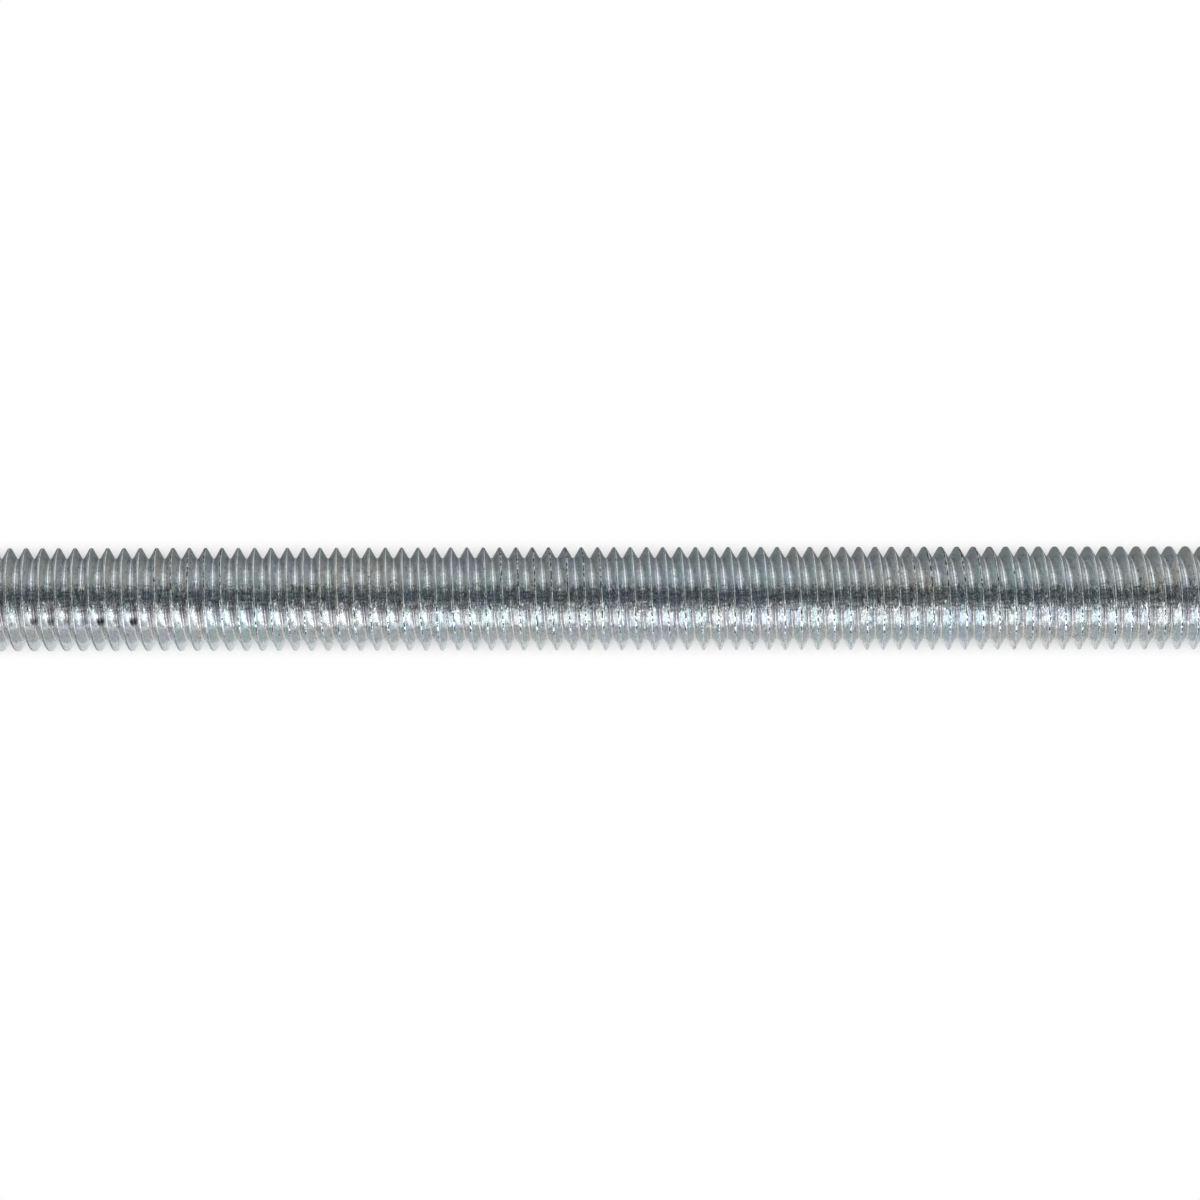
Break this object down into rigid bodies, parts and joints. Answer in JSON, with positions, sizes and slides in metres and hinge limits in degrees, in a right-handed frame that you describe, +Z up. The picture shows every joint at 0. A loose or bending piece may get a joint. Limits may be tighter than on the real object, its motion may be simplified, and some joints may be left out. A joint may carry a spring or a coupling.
{
  "type": "threaded rod",
  "caption": "Plated steel rod with a right-hand metric thread along its whole length and chamfered square ends, to join parts with nuts or tapped holes.",
  "frame": {"origin": "middle of the rod, on its axis", "axes": "+X along the rod's axis, +Z up as the rod lies; the thread's crest passes the +Y side at the end of each whole turn"},
  "size_m": [0.1, 0.0078, 0.0078],
  "materials": {
    "zinc_plated_steel": "bright blue-white zinc plate, with fine rolling marks along the thread"
  },
  "bodies": {
    "root": {"threaded_rod": "zinc_plated_steel"}
  },
  "joints": []
}
